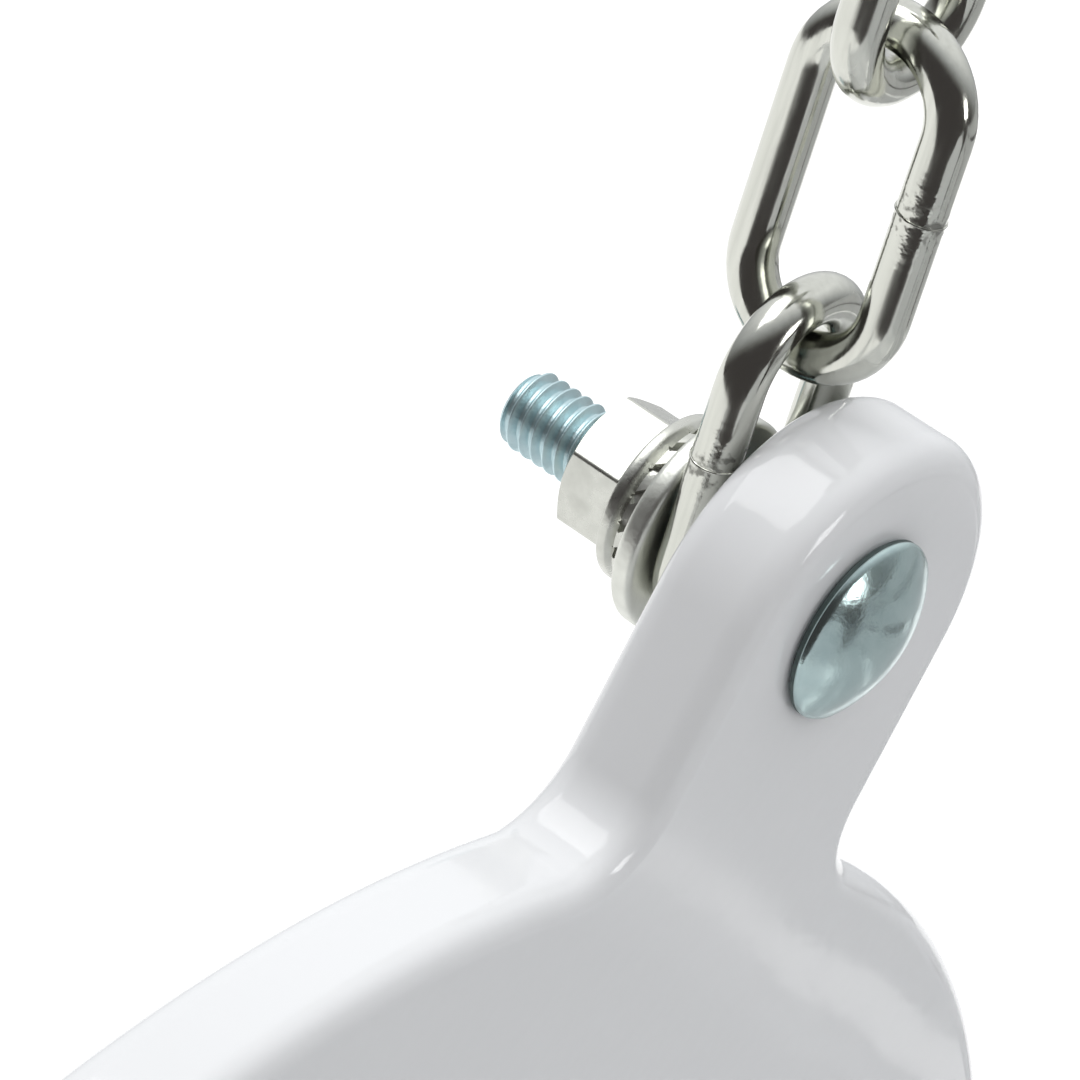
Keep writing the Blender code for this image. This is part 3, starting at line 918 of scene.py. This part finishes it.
for (word, turn), way in zip(sides, (1, -1)):
    place = at_ear(turn, nut_high.x) @ Matrix.Rotation(way * nut_turn, 4, "X")
    node, name = "nut_" + word, "hex_nut_" + word
    finish_piece(copy_of(nut), name, bright_zinc, "seat", [node], place)
bpy.data.objects.remove(nut)


# Chain steel -------------------------------------------------------------
# Drawn wire, welded and plated bright. Drawing leaves fine streaks along the wire, and each weld is
# left rough, dark and scuffed where it was trimmed.

chain_steel, tree, shader, place = new_finish("bright plated chain wire")
shader.inputs["Metallic"].default_value = 1
along_wire = add_node(tree, "ShaderNodeMapping", {"Scale": (1, 1, 0.07)}, {"Vector": place})
streak = add_node(
    tree,
    "ShaderNodeTexNoise",
    {"Scale": per_metre(0.8), "Detail": 6},
    {"Vector": along_wire.outputs["Vector"]},
)
blotch = add_node(
    tree, "ShaderNodeTexNoise", {"Scale": per_metre(1.1), "Detail": 2}, {"Vector": place}
)
weld = add_node(tree, "ShaderNodeAttribute", attribute_name="weld")
rough_weld = add_node(
    tree,
    "ShaderNodeMath",
    links={0: weld.outputs["Fac"], 1: blotch.outputs["Fac"]},
    operation="MULTIPLY",
)
scuffed = add_node(
    tree,
    "ShaderNodeMapRange",
    {"From Min": 0.5, "From Max": 0.62, "To Max": 0.6},
    {"Value": rough_weld.outputs["Value"]},
)
wire_tint = add_node(
    tree,
    "ShaderNodeMix",
    {"A": colour("#d3d4cc"), "B": colour("#bfc0b8")},
    {"Factor": streak.outputs["Fac"]},
    data_type="RGBA",
)
wire_colour = add_node(
    tree,
    "ShaderNodeMix",
    {"B": colour("#3a3934")},
    {"Factor": scuffed.outputs["Result"], "A": wire_tint.outputs["Result"]},
    data_type="RGBA",
)
tree.links.new(wire_colour.outputs["Result"], shader.inputs["Base Color"])
wire_gloss = add_node(
    tree,
    "ShaderNodeMapRange",
    {"From Min": 0.35, "From Max": 0.65, "To Min": 0.09, "To Max": 0.19},
    {"Value": streak.outputs["Fac"]},
)
weld_gloss = add_node(
    tree,
    "ShaderNodeMix",
    {"B": 0.45},
    {"Factor": scuffed.outputs["Result"], "A": wire_gloss.outputs["Result"]},
)
tree.links.new(weld_gloss.outputs["Result"], shader.inputs["Roughness"])
streak_bump = add_node(
    tree,
    "ShaderNodeBump",
    {"Strength": 0.12, "Distance": 0.0001},
    {"Height": streak.outputs["Fac"]},
)
weld_bump = add_node(
    tree,
    "ShaderNodeBump",
    {"Strength": 0.3, "Distance": 0.0002},
    {"Height": rough_weld.outputs["Value"], "Normal": streak_bump.outputs["Normal"]},
)
tree.links.new(weld_bump.outputs["Normal"], shader.inputs["Normal"])


# Chain links -------------------------------------------------------------
# Straight link chain of 4.7 mm wire. Each link is bent round, butt welded on one leg and trimmed,
# which leaves a thin flash ring with rough scuffs on both sides of it.

link_low, link_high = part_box("chain_link_1_left")
wire = link_high.x - link_low.x
link_bend = (link_high.y - link_low.y - wire) / 2
link_leg = (link_high.z - link_low.z) / 2 - wire / 2 - link_bend
leg_steps = 24
weld_height, weld_reach = 0.0017, 0.0045
flash_radius, flash_tilt = 0.00012, math.radians(5)
bpy.ops.object.select_all(action="DESELECT")
bpy.ops.mesh.primitive_circle_add(vertices=32, radius=wire / 2, location=(0, link_bend, -link_leg))
link = bpy.context.object
bpy.ops.object.mode_set(mode="EDIT")
bpy.ops.mesh.select_all(action="SELECT")
draw((0, 0, 2 * link_leg))
sweep((0, link_leg), math.pi, 28)
for i in range(leg_steps):
    draw((0, 0, -2 * link_leg / leg_steps))
sweep((0, -link_leg), math.pi, 28)
close_up()
bpy.ops.object.transform_apply(location=True)
bpy.ops.object.select_all(action="DESELECT")
bpy.ops.mesh.primitive_torus_add(
    location=(0, -link_bend, weld_height),
    rotation=(flash_tilt, 0, 0),
    major_radius=wire / 2 + 0.00002,
    minor_radius=flash_radius,
    major_segments=48,
    minor_segments=8,
)
cut_with(link, bpy.context.object, "UNION")
smooth(link, 40)
# The weld attribute fades from one at the ring to nothing, on the welded leg alone.
weld_marks = link.data.attributes.new("weld", "FLOAT", "POINT")
for vertex, mark in zip(link.data.vertices, weld_marks.data):
    from_weld = abs(vertex.co.z - weld_height) / weld_reach
    mark.value = max(0, 1 - from_weld**3) if vertex.co.y < 0 else 0

for word in ("left", "right"):
    for i in (1, 2, 3, 4):
        node = f"chain_link_{i}_{word}"
        low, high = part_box(node)
        turn = {1: 0, 2: quarter, 3: math.pi, 4: -quarter}[i]
        place = Matrix.Translation((low + high) / 2) @ Matrix.Rotation(turn, 4, "Z")
        name, body = f"welded_link_{i}_{word}", f"link_{i}_pair"
        finish_piece(copy_of(link), name, chain_steel, body, [node], place)
bpy.data.objects.remove(link)


# S-hooks -----------------------------------------------------------------
# Bent from 6 mm plated wire, their cropped ends left square with the arrises knocked off.

hook_low, hook_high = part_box("s_hook_left")
hook_wire = hook_high.x - hook_low.x
hook_radius = (0.0144 + hook_wire) / 2
hook_spread, hook_edge = 0.027, 0.0007
hook_top = (0, hook_high.z - hook_wire / 2 - hook_radius)
hook_foot = (0, hook_top[1] - hook_spread)
hook_cross = math.asin(2 * hook_radius / hook_spread)
hook_opening = math.radians(165)
y, z = polar(hook_foot, hook_radius, hook_opening)
bpy.ops.object.select_all(action="DESELECT")
bpy.ops.mesh.primitive_circle_add(
    vertices=32, radius=hook_wire / 2, location=(0, y, z), rotation=(hook_opening, 0, 0)
)
hook = bpy.context.object
bpy.ops.object.mode_set(mode="EDIT")
bpy.ops.mesh.select_all(action="SELECT")
sweep(hook_foot, math.tau + hook_cross - hook_opening, 40)
foot_end = polar(hook_foot, hook_radius, hook_cross)
top_end = polar(hook_top, hook_radius, math.pi + hook_cross)
draw((0, top_end[0] - foot_end[0], top_end[1] - foot_end[1]))
sweep(hook_top, -hook_opening - hook_cross, 40)
bpy.ops.mesh.select_all(action="SELECT")
bpy.ops.mesh.fill_holes(sides=32)
close_up()
bpy.ops.object.transform_apply(location=True, rotation=True, scale=True)
modify(hook, "BEVEL", width=hook_edge, segments=3, **arris)
smooth(hook, 40)
for word in ("left", "right"):
    node = "s_hook_" + word
    place = Matrix.Translation((column(node), 0, 0))
    name = "bent_hook_" + word
    finish_piece(copy_of(hook), name, chain_steel, "hooks", [node], place)
bpy.data.objects.remove(hook)
